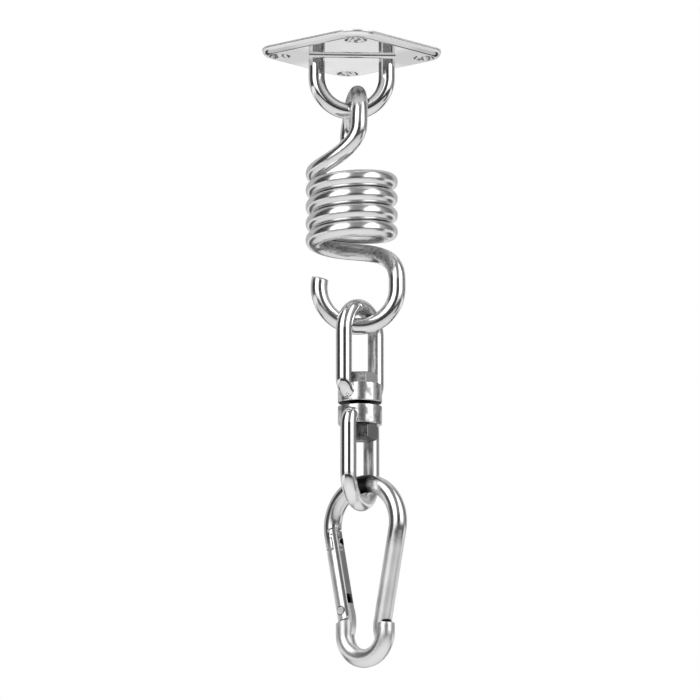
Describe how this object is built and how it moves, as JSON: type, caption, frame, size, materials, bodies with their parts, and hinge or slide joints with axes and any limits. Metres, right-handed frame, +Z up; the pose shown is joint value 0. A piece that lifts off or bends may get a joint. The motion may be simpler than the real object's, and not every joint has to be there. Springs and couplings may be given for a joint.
{
  "type": "hammock hanging hook",
  "caption": "Ceiling plate with a welded staple, a short heavy extension spring, a bolted swivel and a sprung snap hook, hung one from the next to carry a hammock chair.",
  "frame": {"origin": "centre of the plate's top face, which lies on the ceiling", "axes": "+Z up into the ceiling, X along the staple's width and a diagonal of the plate"},
  "size_m": [0.073, 0.073, 0.2529],
  "materials": {
    "plate_steel": "mirror-polished stainless steel plate",
    "bar_steel": "mirror-polished stainless steel bar",
    "spring_steel": "polished stainless steel spring wire",
    "bolt_steel": "dull stainless steel fastener",
    "hook_steel": "satin-polished stainless steel"
  },
  "bodies": {
    "ceiling_plate": {"base_plate": "plate_steel", "eye_staple": "bar_steel"},
    "spring": {"coil_spring": "spring_steel"},
    "swivel_upper": {"swivel_upper_eye": "bar_steel", "swivel_bolt": "bolt_steel", "swivel_nut": "bolt_steel"},
    "swivel_lower": {"swivel_lower_eye": "bar_steel"},
    "snap_hook": {"hook_body": "hook_steel"},
    "gate": {"hook_gate": "hook_steel", "gate_rivet": "hook_steel", "gate_latch_pin": "hook_steel", "gate_spring": "bolt_steel"},
    "plunger": {"gate_plunger": "bolt_steel"}
  },
  "joints": [
    {"name": "spring_swing", "type": "hinge", "parent": "ceiling_plate", "child": "spring", "pos_m": [0, 0, -0.0258], "axis": [1, 0, 0], "range_deg": [-60, 60]},
    {"name": "spring_stretch", "type": "slide", "parent": "spring", "child": "swivel_upper", "axis": [0, 0, -1], "range_m": [0, 0.012], "stiffness_N_per_m": 145000, "springref_m": -0.0005, "deforming": ["coil_spring"]},
    {"name": "swivel_spin", "type": "hinge", "parent": "swivel_upper", "child": "swivel_lower", "pos_m": [0.0033, 0, -0.15106], "axis": [0, 0, 1], "continuous": true},
    {"name": "hook_swing", "type": "hinge", "parent": "swivel_lower", "child": "snap_hook", "pos_m": [0.0033, 0, -0.18656], "axis": [0.4695, 0.8829, 0], "range_deg": [-70, 70]},
    {"name": "gate_hinge", "type": "hinge", "parent": "snap_hook", "child": "gate", "pos_m": [-0.00206, 0.00648, -0.22946], "axis": [0.6561, 0.7547, 0], "range_deg": [0, 30], "stiffness_Nm_per_rad": 0.12, "springref_deg": -22.92},
    {"name": "plunger_slide", "type": "slide", "parent": "gate", "child": "plunger", "axis": [-0.1505, 0.1308, 0.9799], "range_m": [0, 0.0011], "deforming": ["gate_spring"]}
  ],
  "couplings": [
    {"joint": "plunger_slide", "follows": "gate_hinge", "m_per_rad": 0.0021}
  ]
}
